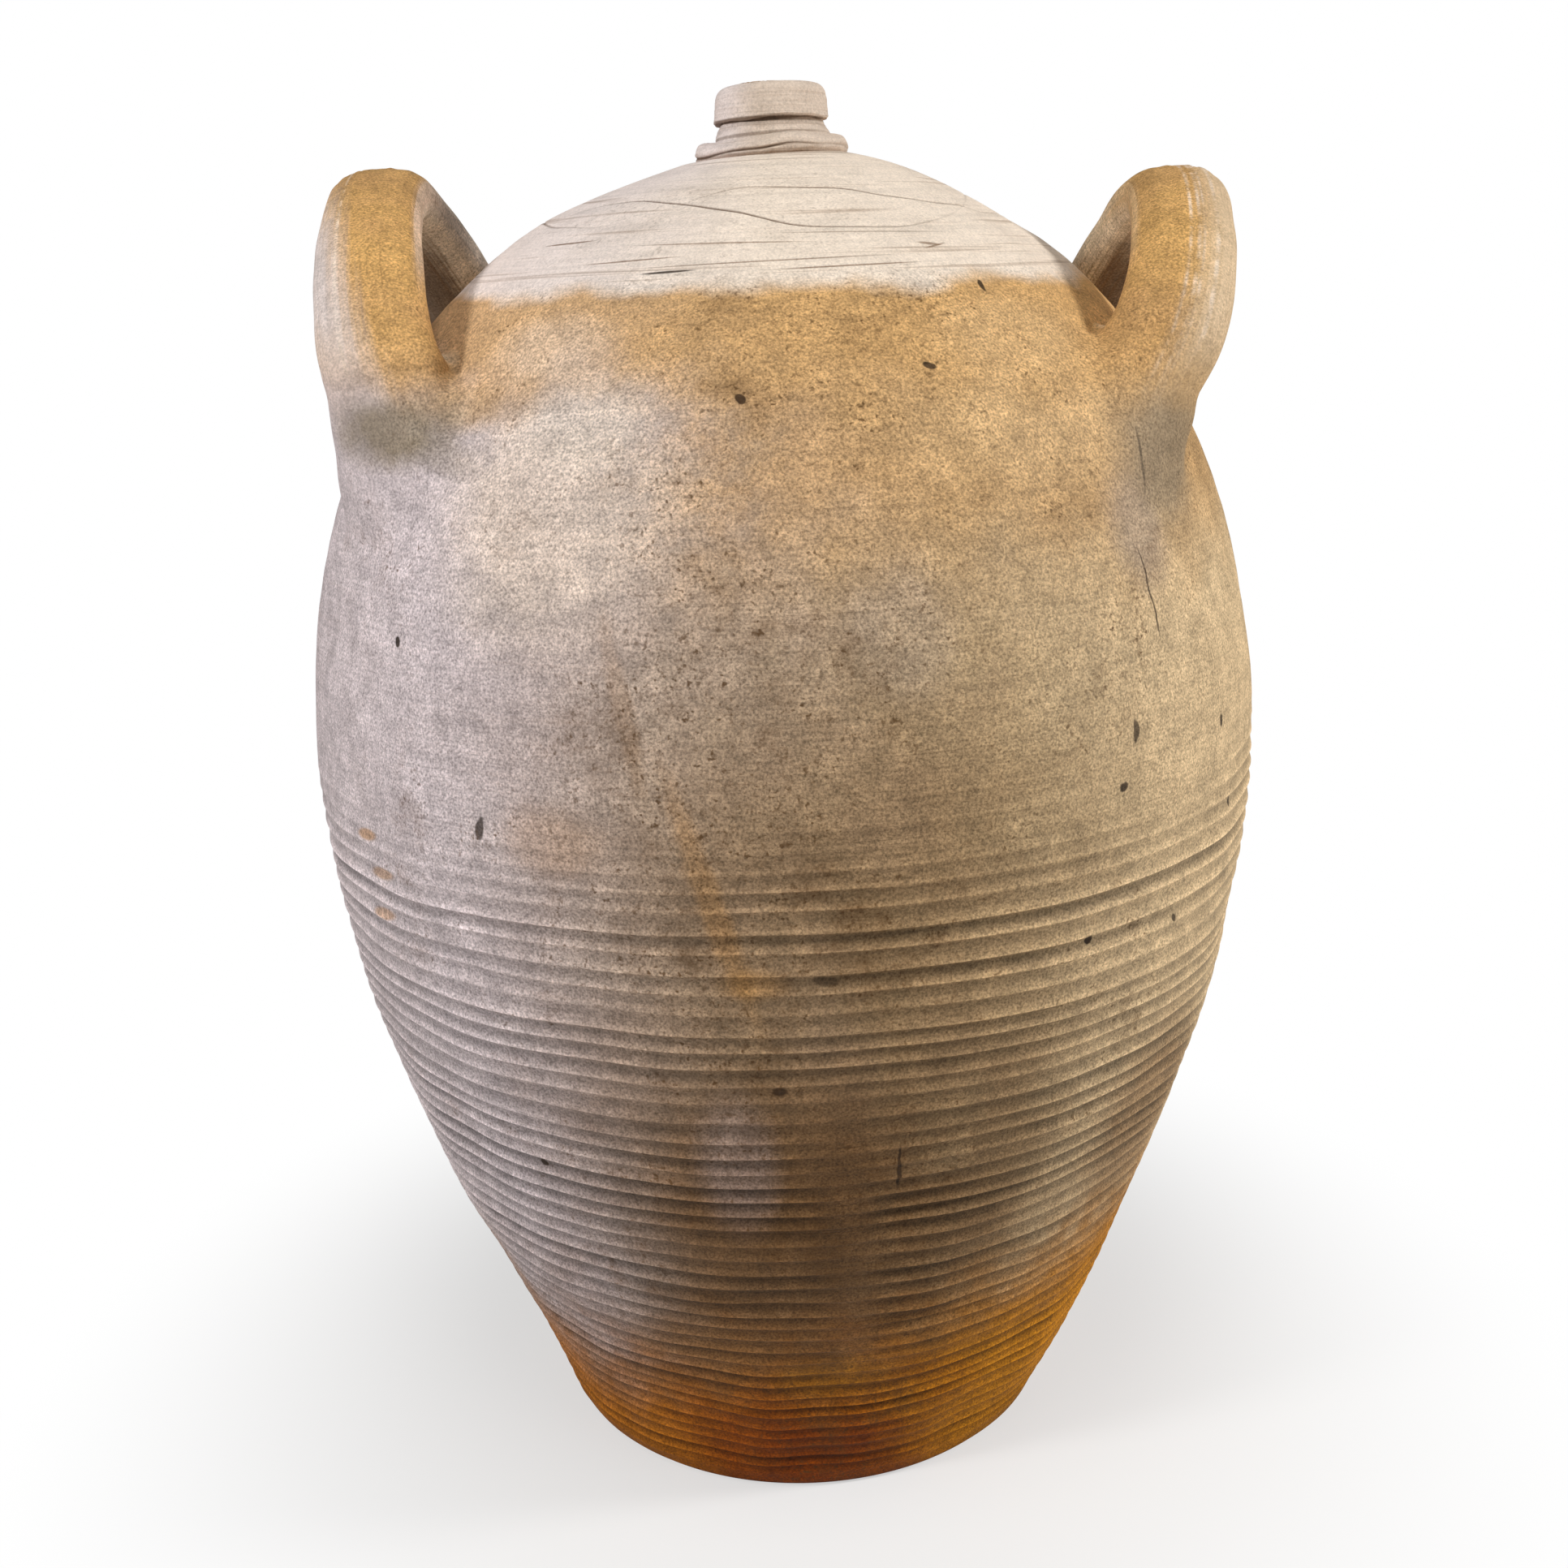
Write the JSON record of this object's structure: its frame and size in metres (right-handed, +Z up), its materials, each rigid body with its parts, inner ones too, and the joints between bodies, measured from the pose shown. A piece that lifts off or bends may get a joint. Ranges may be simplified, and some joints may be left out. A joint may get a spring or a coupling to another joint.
{
  "type": "stoneware storage jar",
  "caption": "Tall round-shouldered stoneware storage jar with a narrow corked neck and two upright strap handles on the shoulder.",
  "frame": {"origin": "centre of the foot's underside, on the surface that the jar stands on", "axes": "+Z up along the jar's axis, -Y to the front, the handles at -X and +X"},
  "size_m": [0.3974, 0.3972, 0.5718],
  "materials": {
    "wall_clay": "matt salt-fired stoneware, speckled grey-beige with throwing ridges",
    "foot_clay": "salt-fired stoneware flashed orange-brown",
    "crown_clay": "dry pale stoneware, bare of glaze",
    "strap_clay": "golden-tan salt-fired stoneware with pulled streaks",
    "lute_clay": "smeared stoneware, grey-brown",
    "cork": "natural cork bark"
  },
  "bodies": {
    "jar": {"base_slab": "foot_clay", "lower_wall": "wall_clay", "belly_wall": "wall_clay", "shoulder_dome": "crown_clay", "neck_collar": "lute_clay", "neck": "crown_clay", "lip_ring": "crown_clay", "left_handle": "strap_clay", "right_handle": "strap_clay", "left_front_lute": "lute_clay", "left_back_lute": "lute_clay", "right_front_lute": "lute_clay", "right_back_lute": "lute_clay"},
    "stopper": {"cork_stopper": "cork"}
  },
  "joints": [
    {"name": "stopper_lift", "type": "slide", "parent": "jar", "child": "stopper", "axis": [0, 0, 1], "range_m": [0, 0.08]}
  ]
}
